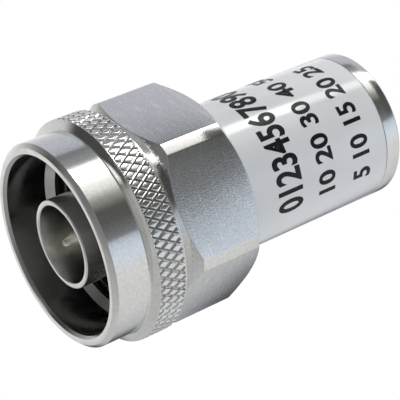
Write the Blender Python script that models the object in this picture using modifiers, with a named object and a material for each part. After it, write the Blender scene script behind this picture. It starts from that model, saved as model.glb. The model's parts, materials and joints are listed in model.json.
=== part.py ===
"""Coaxial plug termination: a threaded coupling nut turning on a plug body with a resistor inside.

The axis is Z. The part stands on its flat tail, with the open plug facing up.
Lengths are metres, heights are measured up from the tail.
"""

import math

import bmesh
import bpy

OBJECT_NAME = "coaxial_termination"

# Coupling nut, outside, from the front rim to the rear
KNURL_RADIUS = 0.01006
RIM_STEP = 0.00089
NUT_RIM_CHAMFER = 0.00035
FRONT_BAND_LENGTH = 0.0033
FLANK_LENGTH = 0.0005
FLANK_ROOT_RADIUS = 0.00025
KNURL_WIDTH = 0.00255
KNURL_DEPTH = 0.00024
KNURL_TEETH = 77
KNURL_ROWS = 7
LAND_STEP = 0.00032
LAND_LENGTH = 0.0006
LAND_CHAMFER = 0.00018
GROOVE_DEPTH = 0.00104
GROOVE_WIDTH = 0.0003
HEX_CORNER_RISE = 0.00002
HEX_FLAT_DEPTH = 0.00108
HEX_FRONT_CHAMFER_ANGLE = math.radians(33)
HEX_REAR_CHAMFER_ANGLE = math.radians(37)
NUT_REAR_STEP = 0.00143

# Coupling nut, inside
MOUTH_WALL = 0.00112
COUNTERBORE_DEPTH = 0.0041
MOUTH_CHAMFER = 0.00025
COUNTERBORE_STEP = 0.00065
THREAD_LENGTH = 0.0056
THREAD_RELIEF_DEPTH = 0.0007
THREAD_RELIEF_WIDTH = 0.0007
THREAD_REAR_LAND = 0.00065
NUT_REAR_WALL = 0.0018
NUT_REAR_CHAMFER = 0.0002

# Snap ring that holds the nut on the plug body
SNAP_RING_THICKNESS = 0.0007
SNAP_RING_OUTER_RISE = 0.00055
SNAP_RING_INNER_DROP = 0.0009
SNAP_RING_GAP_ANGLE = math.radians(24)

# Plug body and its outer contact sleeve
SLEEVE_RECESS = 0.0007
SLEEVE_WALL = 0.00047
SLEEVE_RIM_CHAMFER = 0.00008
FLANGE_LENGTH = 0.0028
SPIGOT_LENGTH = 0.0040

# Face gasket
GASKET_THICKNESS = 0.0010
GASKET_EDGE = 0.00015

# Centre pin and its insulating bead
PIN_TIP_RECESS = 0.0009
PIN_RADIUS = 0.00082
PIN_TIP_RADIUS = 0.00036
PIN_TAPER_LENGTH = 0.0016
PIN_CONTACT_LENGTH = 0.0051
PIN_SHANK_RADIUS = 0.00152
PIN_STEM_RADIUS = 0.0010
PIN_STEM_REACH = 0.0016
PIN_SOCKET_SPACE = 0.0003
PIN_SLOT_WIDTH = 0.00025
PIN_SLOT_LENGTH = 0.0014
BEAD_POCKET_WALL = 0.00075
BEAD_POCKET_STEP = 0.0007
BEAD_POCKET_DEPTH = 0.0008
BEAD_THICKNESS = 0.0020

# Rod resistor and its end caps
ROD_RADIUS = 0.0012
ROD_LENGTH = 0.0098
CAP_WALL = 0.00015
CAP_END_WALL = 0.0003
CAP_GRIP = 0.0010
STUB_RADIUS = 0.00045
STUB_LENGTH = 0.0015

# Tapered liner, the outer conductor round the resistor
LINER_MOUTH_SPACE = 0.0013
LINER_CAP_SPACE = 0.00025
LINER_TAPER_RISE = 0.00135
CONTACT_POCKET_RADIUS = 0.0030
CONTACT_SPACE = 0.0004
LINER_EDGE = 0.0002

# Ground contact that grips the rear stub
CONTACT_FLANGE_THICKNESS = 0.0004
COLLET_WALL = 0.00045
COLLET_LENGTH = 0.0015
COLLET_SLOT_WIDTH = 0.00025

# Housing, rear plug and label
HOUSING_STEP = 0.00055
HOUSING_WALL = 0.00095
HOUSING_EDGE = 0.0003
TAIL_RING_LENGTH = 0.0018
PLUG_LENGTH = 0.0046
PLUG_RECESS = 0.0003
PLUG_EDGE = 0.0002
LABEL_THICKNESS = 0.0001
LABEL_MARGIN = 0.00025

# Sealing rings of the housing
SEAL_GROOVE_DEPTH = 0.00085
SEAL_GROOVE_WIDTH = 0.0010
SPIGOT_SEAL_OFFSET = 0.0012

# Clearances
RUNNING_CLEARANCE = 0.0002
FIT_GAP = 0.0001
THIN_GAP = 0.00005

# Facets
NUT_STEPS = 54
BODY_STEPS = 40
CORE_STEPS = 28
SEAL_STEPS = 8
TAPER_POINTS = 6
ROUND_POINTS = 5
MERGE_DISTANCE = 0.000001

# Radii of the nut, from the knurl inwards
NUT_RIM_RADIUS = KNURL_RADIUS - RIM_STEP
LAND_RADIUS = KNURL_RADIUS - LAND_STEP
GROOVE_RADIUS = LAND_RADIUS - GROOVE_DEPTH
HEX_CORNER_RADIUS = KNURL_RADIUS + HEX_CORNER_RISE
HEX_ACROSS_FLATS = 2 * (HEX_CORNER_RADIUS - HEX_FLAT_DEPTH)
NUT_REAR_RADIUS = HEX_CORNER_RADIUS - NUT_REAR_STEP
COUNTERBORE_RADIUS = NUT_RIM_RADIUS - MOUTH_WALL
THREAD_MINOR_RADIUS = COUNTERBORE_RADIUS - COUNTERBORE_STEP
THREAD_RELIEF_RADIUS = THREAD_MINOR_RADIUS + THREAD_RELIEF_DEPTH

# Radii of what sits inside the nut
SNAP_RING_OUTER_RADIUS = THREAD_MINOR_RADIUS + SNAP_RING_OUTER_RISE
SNAP_RING_INNER_RADIUS = THREAD_MINOR_RADIUS - SNAP_RING_INNER_DROP
FLANGE_RADIUS = THREAD_MINOR_RADIUS - RUNNING_CLEARANCE
HOUSING_RADIUS = THREAD_MINOR_RADIUS - HOUSING_STEP
HOUSING_BORE_RADIUS = HOUSING_RADIUS - HOUSING_WALL
LABEL_SEAT_RADIUS = HOUSING_RADIUS - THIN_GAP - LABEL_THICKNESS
SPIGOT_RADIUS = HOUSING_BORE_RADIUS - FIT_GAP
SEAL_FLOOR_RADIUS = SPIGOT_RADIUS - SEAL_GROOVE_DEPTH
BEAD_POCKET_RADIUS = SEAL_FLOOR_RADIUS - BEAD_POCKET_WALL
SLEEVE_BORE_RADIUS = BEAD_POCKET_RADIUS - BEAD_POCKET_STEP
SLEEVE_RADIUS = SLEEVE_BORE_RADIUS + SLEEVE_WALL

# Radii of the resistor and what surrounds it
SOCKET_RADIUS = STUB_RADIUS + FIT_GAP
CAP_RADIUS = ROD_RADIUS + THIN_GAP + CAP_WALL
LINER_MOUTH_RADIUS = PIN_STEM_RADIUS + LINER_MOUTH_SPACE
LINER_NARROW_RADIUS = CAP_RADIUS + LINER_CAP_SPACE
LINER_WIDE_RADIUS = LINER_NARROW_RADIUS + LINER_TAPER_RISE

# Heights, from the tail up through the resistor to the flange
PLUG_FRONT = PLUG_RECESS + PLUG_LENGTH
LINER_REAR = PLUG_FRONT + FIT_GAP
CONTACT_POCKET_DEPTH = CONTACT_SPACE + COLLET_LENGTH + CONTACT_FLANGE_THICKNESS + FIT_GAP
CONTACT_FRONT = LINER_REAR + CONTACT_POCKET_DEPTH - FIT_GAP
REAR_CAP_END = CONTACT_FRONT + 4 * FIT_GAP
ROD_REAR = REAR_CAP_END + CAP_END_WALL + THIN_GAP
ROD_FRONT = ROD_REAR + ROD_LENGTH
FRONT_CAP_END = ROD_FRONT + THIN_GAP + CAP_END_WALL
PIN_REAR = FRONT_CAP_END + FIT_GAP
PIN_SOCKET_DEPTH = STUB_LENGTH + PIN_SOCKET_SPACE
BEAD_REAR = PIN_REAR + PIN_STEM_REACH
BEAD_FRONT = BEAD_REAR + BEAD_THICKNESS
LINER_FRONT = BEAD_REAR - FIT_GAP
FLANGE_FRONT = BEAD_FRONT + FIT_GAP + BEAD_POCKET_DEPTH
FLANGE_REAR = FLANGE_FRONT - FLANGE_LENGTH
FLANGE_MIDDLE = (FLANGE_REAR + FLANGE_FRONT) / 2
SPIGOT_END = FLANGE_REAR - SPIGOT_LENGTH
LINER_STEP = SPIGOT_END - FIT_GAP

# Heights of the nut and of the housing behind it
TAIL_LENGTH = FLANGE_REAR - RUNNING_CLEARANCE - NUT_REAR_WALL
SNAP_GROOVE_FRONT = FLANGE_MIDDLE + SNAP_RING_THICKNESS / 2 + RUNNING_CLEARANCE
THREAD_REAR = SNAP_GROOVE_FRONT + THREAD_REAR_LAND + THREAD_RELIEF_WIDTH
THREAD_FRONT = THREAD_REAR + THREAD_LENGTH
FRONT = THREAD_FRONT + COUNTERBORE_DEPTH
HOUSING_FRONT = FLANGE_REAR - FIT_GAP
LABEL_FRONT = TAIL_LENGTH - LABEL_MARGIN


def clear_scene():
    for item in list(bpy.data.objects):
        bpy.data.objects.remove(item, do_unlink=True)


def new_collection(name, hidden=False):
    collection = bpy.data.collections.new(name)
    bpy.context.scene.collection.children.link(collection)
    collection.hide_render = hidden
    return collection


def new_material(name, color, metallic, roughness):
    material = bpy.data.materials.new(name)
    material.use_nodes = True
    shader = material.node_tree.nodes["Principled BSDF"]
    shader.inputs["Base Color"].default_value = (*color, 1.0)
    shader.inputs["Metallic"].default_value = metallic
    shader.inputs["Roughness"].default_value = roughness
    material.diffuse_color = (*color, 1.0)
    return material


def place(name, mesh, collection, material=None):
    item = bpy.data.objects.new(name, mesh)
    collection.objects.link(item)
    if material:
        mesh.materials.append(material)
    return item


def mark_as_cutter(item):
    item.hide_render = True
    item.display_type = "WIRE"


def turned(name, profile, steps, collection, material=None):
    """Turn a closed profile of (radius, height) pairs, outer side top to bottom first."""
    mesh = bpy.data.meshes.new(name)
    points = [(radius, 0.0, height) for radius, height in profile]
    edges = [(i, (i + 1) % len(points)) for i in range(len(points))]
    if profile[0][0] == 0 and profile[-1][0] == 0:
        edges.pop()
    mesh.from_pydata(points, edges, [])
    item = place(name, mesh, collection, material)
    screw = item.modifiers.new("turn", "SCREW")
    screw.axis = "Z"
    screw.angle = math.tau
    screw.steps = steps
    screw.render_steps = steps
    screw.use_merge_vertices = True
    screw.merge_threshold = MERGE_DISTANCE
    return item


def box_cutter(name, size, centre, angle, collection):
    mesh = bpy.data.meshes.new(name)
    bm = bmesh.new()
    bmesh.ops.create_cube(bm, size=1.0)
    bmesh.ops.scale(bm, vec=size, verts=bm.verts)
    bm.to_mesh(mesh)
    bm.free()
    item = place(name, mesh, collection)
    item.location = centre
    item.rotation_euler = (0.0, 0.0, angle)
    mark_as_cutter(item)
    return item


def combine(item, tool, operation):
    boolean = item.modifiers.new(tool.name, "BOOLEAN")
    boolean.operation = operation
    boolean.solver = "EXACT"
    boolean.object = tool


def settle(item, sharp_angle=math.radians(28)):
    """Turn the modifiers into the mesh and shade it smooth between its sharp edges."""
    bpy.context.view_layer.update()
    evaluated = item.evaluated_get(bpy.context.evaluated_depsgraph_get())
    mesh = bpy.data.meshes.new_from_object(evaluated)
    mesh.name = item.name
    mesh.shade_smooth()
    mesh.set_sharp_from_angle(angle=sharp_angle)
    item.modifiers.clear()
    item.data = mesh
    return item


def arc(centre, radius, start, end, points):
    """Points of an arc in the profile plane, angles in degrees from the outward direction."""
    result = []
    for i in range(points + 1):
        angle = math.radians(start + (end - start) * i / points)
        result.append((centre[0] + radius * math.cos(angle), centre[1] + radius * math.sin(angle)))
    return result


def ring_section(inner, outer, bottom, top, edge=0.0):
    """A rectangular ring section with all four edges cut by the same chamfer."""
    if edge == 0:
        return [(outer, top), (outer, bottom), (inner, bottom), (inner, top)]
    return [
        (outer - edge, top),
        (outer, top - edge),
        (outer, bottom + edge),
        (outer - edge, bottom),
        (inner + edge, bottom),
        (inner, bottom + edge),
        (inner, top - edge),
        (inner + edge, top),
    ]


# Coupling nut


def nut_outside(valley_radius, knurl_front, knurl_rear):
    """Outer side of the turned blank, from the front rim down to the rear face."""
    band_rear = FRONT - FRONT_BAND_LENGTH
    groove_front = knurl_rear - LAND_LENGTH
    groove_rear = groove_front - GROOVE_WIDTH
    corner_rise = HEX_CORNER_RADIUS - GROOVE_RADIUS
    hex_front = groove_rear - corner_rise * math.tan(HEX_FRONT_CHAMFER_ANGLE)
    rear_drop = HEX_CORNER_RADIUS - NUT_REAR_RADIUS
    hex_rear = TAIL_LENGTH + rear_drop * math.tan(HEX_REAR_CHAMFER_ANGLE)
    root_centre = (NUT_RIM_RADIUS + FLANK_ROOT_RADIUS, band_rear)
    return [
        (NUT_RIM_RADIUS - NUT_RIM_CHAMFER, FRONT),
        (NUT_RIM_RADIUS, FRONT - NUT_RIM_CHAMFER),
        *arc(root_centre, FLANK_ROOT_RADIUS, 180, 235, 3),
        (valley_radius, knurl_front),
        (valley_radius, knurl_rear),
        (LAND_RADIUS, knurl_rear),
        (LAND_RADIUS, groove_front + LAND_CHAMFER),
        (LAND_RADIUS - LAND_CHAMFER, groove_front),
        (GROOVE_RADIUS, groove_front),
        (GROOVE_RADIUS, groove_rear),
        (HEX_CORNER_RADIUS, hex_front),
        (HEX_CORNER_RADIUS, hex_rear),
        (NUT_REAR_RADIUS, TAIL_LENGTH),
    ]


def nut_inside():
    """Inner side of the nut, from the rear hole up to the mouth."""
    rear_hole = HOUSING_RADIUS + RUNNING_CLEARANCE
    wall_front = TAIL_LENGTH + NUT_REAR_WALL
    groove_half = SNAP_RING_THICKNESS / 2 + RUNNING_CLEARANCE
    groove_radius = SNAP_RING_OUTER_RADIUS + FIT_GAP
    return [
        (rear_hole + NUT_REAR_CHAMFER, TAIL_LENGTH),
        (rear_hole, TAIL_LENGTH + NUT_REAR_CHAMFER),
        (rear_hole, wall_front),
        (THREAD_MINOR_RADIUS, wall_front),
        (THREAD_MINOR_RADIUS, FLANGE_MIDDLE - groove_half),
        (groove_radius, FLANGE_MIDDLE - groove_half),
        (groove_radius, SNAP_GROOVE_FRONT),
        (THREAD_MINOR_RADIUS, SNAP_GROOVE_FRONT),
        (THREAD_MINOR_RADIUS, THREAD_REAR - THREAD_RELIEF_WIDTH),
        (THREAD_RELIEF_RADIUS, THREAD_REAR - THREAD_RELIEF_WIDTH),
        (THREAD_RELIEF_RADIUS, THREAD_REAR),
        (THREAD_MINOR_RADIUS, THREAD_REAR),
        (THREAD_MINOR_RADIUS, THREAD_FRONT - COUNTERBORE_STEP),
        (COUNTERBORE_RADIUS, THREAD_FRONT),
        (COUNTERBORE_RADIUS, FRONT - MOUTH_CHAMFER),
        (COUNTERBORE_RADIUS + MOUTH_CHAMFER, FRONT),
    ]


def knurl_band(valley_radius, front, rear, collection):
    """A ring of diamond pyramids: crests and valleys alternate along every row and column."""
    columns = 2 * KNURL_TEETH
    overlap = KNURL_DEPTH
    rows = [front + (rear - front) * i / KNURL_ROWS for i in range(KNURL_ROWS + 1)]
    profile = [(KNURL_RADIUS, height) for height in rows]
    profile += [(valley_radius - overlap, rear), (valley_radius - overlap, front)]
    band = settle(turned("knurl_band", profile, columns, collection))
    bm = bmesh.new()
    bm.from_mesh(band.data)
    outer = [v for v in bm.verts if math.hypot(v.co.x, v.co.y) > valley_radius]
    for vertex in outer:
        column = round(math.atan2(vertex.co.y, vertex.co.x) / math.tau * columns)
        row = round((front - vertex.co.z) / (front - rear) * KNURL_ROWS)
        if (column + row) % 2:
            shrink = (KNURL_RADIUS - KNURL_DEPTH) / KNURL_RADIUS
            vertex.co.x *= shrink
            vertex.co.y *= shrink
    wall = [f for f in bm.faces if all(v in set(outer) for v in f.verts)]
    bmesh.ops.triangulate(bm, faces=wall, quad_method="SHORT_EDGE")
    bm.to_mesh(band.data)
    bm.free()
    mark_as_cutter(band)
    return band


def hexagon_cutter(top, collection):
    """A six-sided collar: what it leaves of the round blank is the hexagon."""
    corner = HEX_ACROSS_FLATS / 2 / math.cos(math.pi / 6)
    outer = HEX_CORNER_RADIUS * 1.5
    bottom = TAIL_LENGTH - NUT_REAR_WALL
    cutter = turned("hexagon_cutter", ring_section(corner, outer, bottom, top), 6, collection)
    mark_as_cutter(cutter)
    return cutter


def coupling_nut(parts, tools, material):
    valley_radius = KNURL_RADIUS - 1.25 * KNURL_DEPTH
    knurl_front = FRONT - FRONT_BAND_LENGTH - FLANK_LENGTH
    knurl_rear = knurl_front - KNURL_WIDTH
    profile = nut_outside(valley_radius, knurl_front, knurl_rear) + nut_inside()
    nut = turned("coupling_nut", profile, NUT_STEPS, parts, material)
    groove_middle = knurl_rear - LAND_LENGTH - GROOVE_WIDTH / 2
    combine(nut, knurl_band(valley_radius, knurl_front, knurl_rear, tools), "UNION")
    combine(nut, hexagon_cutter(groove_middle, tools), "DIFFERENCE")
    return settle(nut)


def nut_snap_ring(parts, material):
    """A flat C-shaped spring ring, drawn as an outline and given its thickness."""
    half_gap = SNAP_RING_GAP_ANGLE / 2
    count = NUT_STEPS // 2
    outline = []
    for radius, first, last in (
        (SNAP_RING_OUTER_RADIUS, half_gap, math.tau - half_gap),
        (SNAP_RING_INNER_RADIUS, math.tau - half_gap, half_gap),
    ):
        for i in range(count + 1):
            angle = first + (last - first) * i / count
            outline.append((radius * math.cos(angle), radius * math.sin(angle)))
    curve = bpy.data.curves.new("nut_snap_ring", "CURVE")
    curve.dimensions = "2D"
    curve.fill_mode = "BOTH"
    curve.extrude = SNAP_RING_THICKNESS / 2
    spline = curve.splines.new("POLY")
    spline.points.add(len(outline) - 1)
    for point, (x, y) in zip(spline.points, outline):
        point.co = (x, y, 0.0, 1.0)
    spline.use_cyclic_u = True
    ring = place("nut_snap_ring", curve, parts)
    curve.materials.append(material)
    ring.location = (0.0, 0.0, FLANGE_MIDDLE)
    return ring


# Plug body, gasket and centre contact


def plug_body(parts, material):
    sleeve_front = FRONT - SLEEVE_RECESS
    groove_half = SNAP_RING_THICKNESS / 2 + FIT_GAP
    groove_floor = SNAP_RING_INNER_RADIUS - FIT_GAP
    seal_top = FLANGE_REAR - SPIGOT_SEAL_OFFSET + SEAL_GROOVE_WIDTH / 2
    seal_bottom = seal_top - SEAL_GROOVE_WIDTH
    pocket_front = FLANGE_FRONT - BEAD_POCKET_DEPTH
    profile = [
        (SLEEVE_RADIUS - SLEEVE_RIM_CHAMFER, sleeve_front),
        (SLEEVE_RADIUS, sleeve_front - SLEEVE_RIM_CHAMFER),
        (SLEEVE_RADIUS, FLANGE_FRONT),
        (FLANGE_RADIUS, FLANGE_FRONT),
        (FLANGE_RADIUS, FLANGE_MIDDLE + groove_half),
        (groove_floor, FLANGE_MIDDLE + groove_half),
        (groove_floor, FLANGE_MIDDLE - groove_half),
        (FLANGE_RADIUS, FLANGE_MIDDLE - groove_half),
        (FLANGE_RADIUS, FLANGE_REAR),
        (SPIGOT_RADIUS, FLANGE_REAR),
        (SPIGOT_RADIUS, seal_top),
        (SEAL_FLOOR_RADIUS, seal_top),
        (SEAL_FLOOR_RADIUS, seal_bottom),
        (SPIGOT_RADIUS, seal_bottom),
        (SPIGOT_RADIUS, SPIGOT_END),
        (BEAD_POCKET_RADIUS, SPIGOT_END),
        (BEAD_POCKET_RADIUS, pocket_front),
        (SLEEVE_BORE_RADIUS, pocket_front),
        (SLEEVE_BORE_RADIUS, sleeve_front - SLEEVE_RIM_CHAMFER),
        (SLEEVE_BORE_RADIUS + SLEEVE_RIM_CHAMFER, sleeve_front),
    ]
    return settle(turned("plug_body", profile, BODY_STEPS, parts, material))


def face_gasket(parts, material):
    inner = SLEEVE_RADIUS + FIT_GAP
    bottom = FLANGE_FRONT + FIT_GAP
    section = ring_section(inner, FLANGE_RADIUS, bottom, bottom + GASKET_THICKNESS, GASKET_EDGE)
    return settle(turned("face_gasket", section, BODY_STEPS, parts, material))


def slotted(item, width, length, rear, reach, tools):
    """Cut two crossed slots up from a socket's rear end, to leave four spring fingers."""
    for index in range(2):
        cutter = box_cutter(
            f"{item.name}_slot_{index + 1}",
            (2 * reach, width, 2 * length),
            (0.0, 0.0, rear),
            index * math.pi / 2 + math.pi / 4,
            tools,
        )
        combine(item, cutter, "DIFFERENCE")


def centre_pin(parts, tools, material):
    tip = FRONT - PIN_TIP_RECESS
    nose = arc((0.0, tip - PIN_TIP_RADIUS), PIN_TIP_RADIUS, 90, 20, ROUND_POINTS)
    nose[0] = (0.0, tip)
    shank_front = tip - PIN_CONTACT_LENGTH
    shank_rear = BEAD_FRONT + FIT_GAP
    profile = [
        *nose,
        (PIN_RADIUS, tip - PIN_TAPER_LENGTH),
        (PIN_RADIUS, shank_front),
        (PIN_SHANK_RADIUS, shank_front),
        (PIN_SHANK_RADIUS, shank_rear),
        (PIN_STEM_RADIUS, shank_rear),
        (PIN_STEM_RADIUS, PIN_REAR),
        (SOCKET_RADIUS, PIN_REAR),
        (SOCKET_RADIUS, PIN_REAR + PIN_SOCKET_DEPTH),
        (0.0, PIN_REAR + PIN_SOCKET_DEPTH),
    ]
    pin = turned("centre_pin", profile, CORE_STEPS, parts, material)
    slotted(pin, PIN_SLOT_WIDTH, PIN_SLOT_LENGTH, PIN_REAR, PIN_SHANK_RADIUS, tools)
    return settle(pin)


def support_bead(parts, material):
    inner = PIN_STEM_RADIUS + FIT_GAP
    outer = BEAD_POCKET_RADIUS - FIT_GAP
    section = ring_section(inner, outer, BEAD_REAR, BEAD_FRONT)
    return settle(turned("support_bead", section, CORE_STEPS, parts, material))


# Resistor and its outer conductor


def resistor_rod(parts, material):
    profile = [(0.0, ROD_FRONT), (ROD_RADIUS, ROD_FRONT), (ROD_RADIUS, ROD_REAR), (0.0, ROD_REAR)]
    return settle(turned("resistor_rod", profile, CORE_STEPS, parts, material))


def resistor_cap(name, end, rod_face, direction, parts, material):
    """A cup over one end of the rod, with a stub on its outer face."""
    grip = rod_face - direction * CAP_GRIP
    floor = rod_face + direction * THIN_GAP
    stub_end = end + direction * STUB_LENGTH
    bore = ROD_RADIUS + THIN_GAP
    profile = [
        (0.0, stub_end),
        (STUB_RADIUS, stub_end),
        (STUB_RADIUS, end),
        (CAP_RADIUS, end),
        (CAP_RADIUS, grip),
        (bore, grip),
        (bore, floor),
        (0.0, floor),
    ]
    if direction < 0:
        profile.reverse()
    return settle(turned(name, profile, CORE_STEPS, parts, material))


def taper_liner(parts, material):
    """Outer conductor whose bore narrows exponentially along the resistor."""
    neck = BEAD_POCKET_RADIUS - FIT_GAP
    pocket_front = LINER_REAR + CONTACT_POCKET_DEPTH
    taper = []
    for i in range(TAPER_POINTS + 1):
        share = i / TAPER_POINTS
        height = ROD_REAR + (FRONT_CAP_END - ROD_REAR) * share
        ratio = LINER_WIDE_RADIUS / LINER_NARROW_RADIUS
        taper.append((LINER_NARROW_RADIUS * ratio**share, height))
    profile = [
        (neck, LINER_FRONT),
        (neck, LINER_STEP),
        (SPIGOT_RADIUS - LINER_EDGE, LINER_STEP),
        (SPIGOT_RADIUS, LINER_STEP - LINER_EDGE),
        (SPIGOT_RADIUS, LINER_REAR + LINER_EDGE),
        (SPIGOT_RADIUS - LINER_EDGE, LINER_REAR),
        (CONTACT_POCKET_RADIUS, LINER_REAR),
        (CONTACT_POCKET_RADIUS, pocket_front),
        (LINER_NARROW_RADIUS, pocket_front),
        *taper,
        (LINER_MOUTH_RADIUS, FRONT_CAP_END),
        (LINER_MOUTH_RADIUS, LINER_FRONT),
    ]
    return settle(turned("taper_liner", profile, CORE_STEPS, parts, material))


def ground_contact(parts, tools, material):
    flange_rear = CONTACT_FRONT - CONTACT_FLANGE_THICKNESS
    collet_rear = flange_rear - COLLET_LENGTH
    collet_radius = SOCKET_RADIUS + COLLET_WALL
    flange_radius = CONTACT_POCKET_RADIUS - FIT_GAP
    profile = [
        (flange_radius, CONTACT_FRONT),
        (flange_radius, flange_rear),
        (collet_radius, flange_rear),
        (collet_radius, collet_rear),
        (SOCKET_RADIUS, collet_rear),
        (SOCKET_RADIUS, CONTACT_FRONT),
    ]
    contact = turned("ground_contact", profile, CORE_STEPS, parts, material)
    slot_length = COLLET_LENGTH - FIT_GAP
    slotted(contact, COLLET_SLOT_WIDTH, slot_length, collet_rear, flange_radius, tools)
    return settle(contact)


# Housing, rear plug, seals and label


def housing(parts, material):
    profile = [
        (HOUSING_RADIUS, HOUSING_FRONT),
        (HOUSING_RADIUS, LABEL_FRONT + THIN_GAP),
        (LABEL_SEAT_RADIUS, LABEL_FRONT + THIN_GAP),
        (LABEL_SEAT_RADIUS, TAIL_RING_LENGTH - THIN_GAP),
        (HOUSING_RADIUS, TAIL_RING_LENGTH - THIN_GAP),
        (HOUSING_RADIUS, HOUSING_EDGE),
        (HOUSING_RADIUS - HOUSING_EDGE, 0.0),
        (HOUSING_BORE_RADIUS, 0.0),
        (HOUSING_BORE_RADIUS, HOUSING_FRONT),
    ]
    return settle(turned("housing", profile, BODY_STEPS, parts, material))


def rear_plug(parts, material):
    middle = PLUG_RECESS + PLUG_LENGTH / 2
    half = SEAL_GROOVE_WIDTH / 2
    profile = [
        (0.0, PLUG_FRONT),
        (SPIGOT_RADIUS - PLUG_EDGE, PLUG_FRONT),
        (SPIGOT_RADIUS, PLUG_FRONT - PLUG_EDGE),
        (SPIGOT_RADIUS, middle + half),
        (SEAL_FLOOR_RADIUS, middle + half),
        (SEAL_FLOOR_RADIUS, middle - half),
        (SPIGOT_RADIUS, middle - half),
        (SPIGOT_RADIUS, PLUG_RECESS + PLUG_EDGE),
        (SPIGOT_RADIUS - PLUG_EDGE, PLUG_RECESS),
        (0.0, PLUG_RECESS),
    ]
    return settle(turned("rear_plug", profile, BODY_STEPS, parts, material))


def seal_ring(name, height, parts, material):
    """A round-section ring that fills the space between a seal groove and the housing bore."""
    centre = (SEAL_FLOOR_RADIUS + HOUSING_BORE_RADIUS) / 2
    section_radius = (HOUSING_BORE_RADIUS - SEAL_FLOOR_RADIUS) / 2 - THIN_GAP
    profile = arc((centre, height), section_radius, 90, -270, SEAL_STEPS)
    profile.pop()
    return settle(turned(name, profile, CORE_STEPS, parts, material), math.radians(60))


def wrap_label(parts, material):
    inner = LABEL_SEAT_RADIUS + THIN_GAP
    section = ring_section(inner, inner + LABEL_THICKNESS, TAIL_RING_LENGTH, LABEL_FRONT)
    return settle(turned("wrap_label", section, BODY_STEPS, parts, material))


def main():
    clear_scene()
    parts = new_collection(OBJECT_NAME)
    tools = new_collection("cutters", hidden=True)

    bright_plating = new_material("bright_plating", (0.78, 0.77, 0.74), 1.0, 0.18)
    plated_body = new_material("plated_body", (0.74, 0.73, 0.71), 1.0, 0.22)
    silver_pin = new_material("silver_pin", (0.80, 0.77, 0.66), 1.0, 0.20)
    spring_bronze = new_material("spring_bronze", (0.72, 0.52, 0.30), 1.0, 0.30)
    brass = new_material("brass", (0.76, 0.60, 0.30), 1.0, 0.30)
    insulator = new_material("insulator", (0.88, 0.88, 0.86), 0.0, 0.40)
    rubber = new_material("rubber", (0.05, 0.05, 0.05), 0.0, 0.70)
    ceramic = new_material("ceramic", (0.16, 0.14, 0.13), 0.0, 0.45)
    tinned = new_material("tinned_caps", (0.70, 0.70, 0.70), 1.0, 0.35)
    label_film = new_material("label_film", (0.86, 0.88, 0.90), 0.0, 0.30)

    coupling_nut(parts, tools, bright_plating)
    nut_snap_ring(parts, spring_bronze)
    plug_body(parts, plated_body)
    face_gasket(parts, rubber)
    centre_pin(parts, tools, silver_pin)
    support_bead(parts, insulator)
    resistor_cap("resistor_front_cap", FRONT_CAP_END, ROD_FRONT, 1, parts, tinned)
    resistor_rod(parts, ceramic)
    resistor_cap("resistor_rear_cap", REAR_CAP_END, ROD_REAR, -1, parts, tinned)
    taper_liner(parts, brass)
    ground_contact(parts, tools, spring_bronze)
    housing(parts, plated_body)
    seal_ring("housing_seal_ring", FLANGE_REAR - SPIGOT_SEAL_OFFSET, parts, rubber)
    rear_plug(parts, plated_body)
    seal_ring("plug_seal_ring", PLUG_RECESS + PLUG_LENGTH / 2, parts, rubber)
    wrap_label(parts, label_film)


main()
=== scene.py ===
"""Finished look of a knurled coaxial plug termination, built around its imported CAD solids.

The axis is Z. The part stands on its tail at z = 0, with the open plug facing up.
Lengths are metres.
"""

import json
import math

import bmesh
import bpy
from mathutils import Euler, Matrix, Vector

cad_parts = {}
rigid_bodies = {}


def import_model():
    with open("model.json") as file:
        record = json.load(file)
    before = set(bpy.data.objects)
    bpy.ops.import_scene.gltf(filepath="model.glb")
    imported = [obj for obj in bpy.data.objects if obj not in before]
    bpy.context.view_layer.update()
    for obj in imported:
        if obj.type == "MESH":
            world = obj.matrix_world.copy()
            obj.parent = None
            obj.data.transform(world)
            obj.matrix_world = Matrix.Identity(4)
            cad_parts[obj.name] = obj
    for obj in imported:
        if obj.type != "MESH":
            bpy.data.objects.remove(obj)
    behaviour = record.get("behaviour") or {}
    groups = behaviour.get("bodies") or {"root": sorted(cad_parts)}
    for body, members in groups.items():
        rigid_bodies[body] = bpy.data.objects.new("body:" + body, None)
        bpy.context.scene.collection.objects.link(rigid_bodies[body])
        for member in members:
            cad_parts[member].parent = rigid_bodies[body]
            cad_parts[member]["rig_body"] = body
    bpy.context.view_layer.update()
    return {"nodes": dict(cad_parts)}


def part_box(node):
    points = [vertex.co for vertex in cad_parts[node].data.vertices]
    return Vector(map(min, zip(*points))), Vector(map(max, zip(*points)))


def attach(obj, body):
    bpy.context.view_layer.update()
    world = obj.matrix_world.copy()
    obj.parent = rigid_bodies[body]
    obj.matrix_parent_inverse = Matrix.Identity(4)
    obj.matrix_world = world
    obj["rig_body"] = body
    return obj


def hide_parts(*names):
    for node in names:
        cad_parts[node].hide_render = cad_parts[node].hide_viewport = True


bl_info = {
    "name": "Coaxial Termination",
    "version": (1, 0, 0),
    "blender": (4, 5, 0),
    "location": "View3D > Sidebar > Termination",
    "description": "Builds the finished look of a knurled coaxial plug termination",
    "category": "Add Mesh",
}

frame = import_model()

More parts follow.
